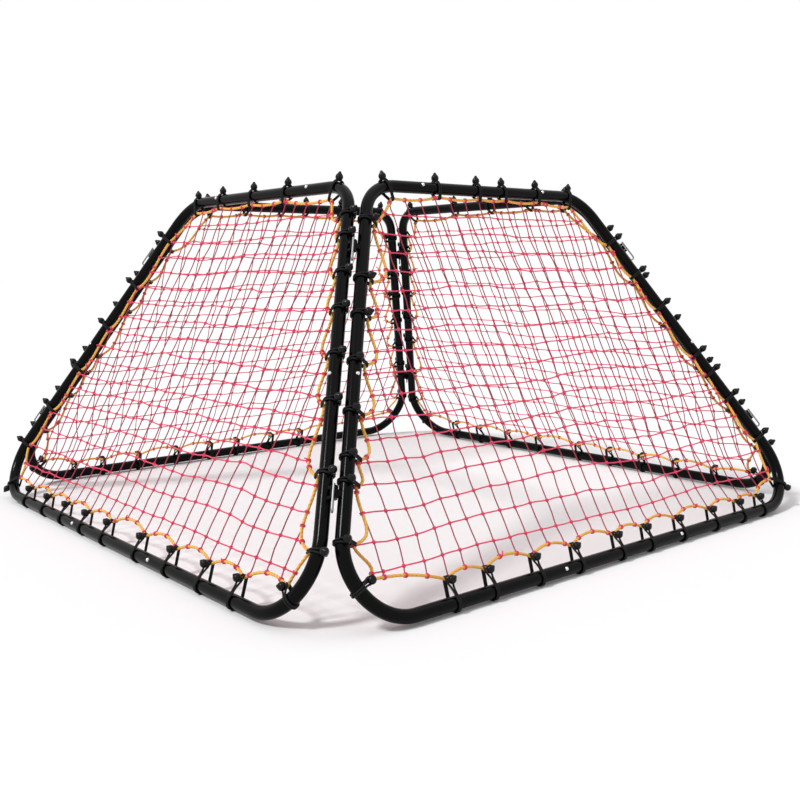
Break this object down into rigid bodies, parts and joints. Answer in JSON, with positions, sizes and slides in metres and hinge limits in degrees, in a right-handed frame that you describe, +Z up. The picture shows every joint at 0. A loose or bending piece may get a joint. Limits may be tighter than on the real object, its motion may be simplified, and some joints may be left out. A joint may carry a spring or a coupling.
{
  "type": "pitch back rebounder",
  "caption": "Ring of hinged tube frames that lean inward on the lawn, each holding a net on ball bungees that throws a ball back.",
  "frame": {"origin": "on the ground at the centre of the ring of panels", "axes": "+Z up; the panels face -X-Y, +X-Y, +X+Y and -X+Y, and the corner nearest the player points along -Y"},
  "size_m": [2.1936, 2.204, 0.8817],
  "materials": {
    "frame_tube": "satin black powder coat",
    "plated_wire": "bright zinc plate",
    "spring_strip": "plain spring steel",
    "net_twine": "knotted twine",
    "border_rope": "laid rope",
    "elastic_cord": "braided sleeve over rubber",
    "bungee_ball": "moulded, slightly glossy"
  },
  "bodies": {
    "front_right": {"front_right_top_rail": "frame_tube", "front_right_left_upper_tube": "frame_tube", "front_right_right_upper_tube": "frame_tube", "front_right_left_lower_tube": "frame_tube", "front_right_right_lower_tube": "frame_tube", "front_right_bottom_rail": "frame_tube", "front_right_left_hinge_lugs": "frame_tube", "front_right_right_hinge_lugs": "frame_tube", "front_right_hairpins": "plated_wire", "front_right_button_springs": "spring_strip", "front_right_net": "net_twine", "front_right_border_rope": "border_rope", "front_right_bungee_cords": "elastic_cord", "front_right_bungee_balls": "bungee_ball"},
    "front_right_buttons": {"front_right_snap_buttons": "plated_wire"},
    "back_right": {"back_right_top_rail": "frame_tube", "back_right_left_upper_tube": "frame_tube", "back_right_right_upper_tube": "frame_tube", "back_right_left_lower_tube": "frame_tube", "back_right_right_lower_tube": "frame_tube", "back_right_bottom_rail": "frame_tube", "back_right_left_hinge_lugs": "frame_tube", "back_right_right_hinge_lugs": "frame_tube", "back_right_hairpins": "plated_wire", "back_right_button_springs": "spring_strip", "back_right_net": "net_twine", "back_right_border_rope": "border_rope", "back_right_bungee_cords": "elastic_cord", "back_right_bungee_balls": "bungee_ball"},
    "back_right_buttons": {"back_right_snap_buttons": "plated_wire"},
    "back_left": {"back_left_top_rail": "frame_tube", "back_left_left_upper_tube": "frame_tube", "back_left_right_upper_tube": "frame_tube", "back_left_left_lower_tube": "frame_tube", "back_left_right_lower_tube": "frame_tube", "back_left_bottom_rail": "frame_tube", "back_left_left_hinge_lugs": "frame_tube", "back_left_right_hinge_lugs": "frame_tube", "back_left_hairpins": "plated_wire", "back_left_button_springs": "spring_strip", "back_left_net": "net_twine", "back_left_border_rope": "border_rope", "back_left_bungee_cords": "elastic_cord", "back_left_bungee_balls": "bungee_ball"},
    "back_left_buttons": {"back_left_snap_buttons": "plated_wire"},
    "front_left": {"front_left_top_rail": "frame_tube", "front_left_left_upper_tube": "frame_tube", "front_left_right_upper_tube": "frame_tube", "front_left_left_lower_tube": "frame_tube", "front_left_right_lower_tube": "frame_tube", "front_left_bottom_rail": "frame_tube", "front_left_left_hinge_lugs": "frame_tube", "front_left_right_hinge_lugs": "frame_tube", "front_left_hairpins": "plated_wire", "front_left_button_springs": "spring_strip", "front_left_net": "net_twine", "front_left_border_rope": "border_rope", "front_left_bungee_cords": "elastic_cord", "front_left_bungee_balls": "bungee_ball"},
    "front_left_buttons": {"front_left_snap_buttons": "plated_wire"}
  },
  "joints": [
    {"name": "ring_fold", "type": "hinge", "parent": "front_right", "child": "front_left", "pos_m": [0, -1.17804, 0.01845], "axis": [0, 0.6087, 0.7934], "range_deg": [-15, 15]},
    {"name": "right_corner", "type": "hinge", "parent": "front_right", "child": "back_right", "pos_m": [1.17804, 0, 0.01845], "axis": [-0.6087, 0, 0.7934], "range_deg": [-15, 15]},
    {"name": "left_corner", "type": "hinge", "parent": "front_left", "child": "back_left", "pos_m": [-1.17804, 0, 0.01845], "axis": [0.6087, 0, 0.7934], "range_deg": [-15, 15]},
    {"name": "front_right_button_press", "type": "slide", "parent": "front_right", "child": "front_right_buttons", "axis": [-0.6215, 0.6215, -0.4769], "range_m": [0, 0.0052], "stiffness_N_per_m": 2000, "springref_m": -0.002, "deforming": ["front_right_button_springs"]},
    {"name": "back_right_button_press", "type": "slide", "parent": "back_right", "child": "back_right_buttons", "axis": [-0.6215, -0.6215, -0.4769], "range_m": [0, 0.0052], "stiffness_N_per_m": 2000, "springref_m": -0.002, "deforming": ["back_right_button_springs"]},
    {"name": "back_left_button_press", "type": "slide", "parent": "back_left", "child": "back_left_buttons", "axis": [0.6215, -0.6215, -0.4769], "range_m": [0, 0.0052], "stiffness_N_per_m": 2000, "springref_m": -0.002, "deforming": ["back_left_button_springs"]},
    {"name": "front_left_button_press", "type": "slide", "parent": "front_left", "child": "front_left_buttons", "axis": [0.6215, 0.6215, -0.4769], "range_m": [0, 0.0052], "stiffness_N_per_m": 2000, "springref_m": -0.002, "deforming": ["front_left_button_springs"]}
  ],
  "couplings": [
    {"joint": "right_corner", "follows": "ring_fold", "ratio": 1},
    {"joint": "left_corner", "follows": "ring_fold", "ratio": -1}
  ]
}
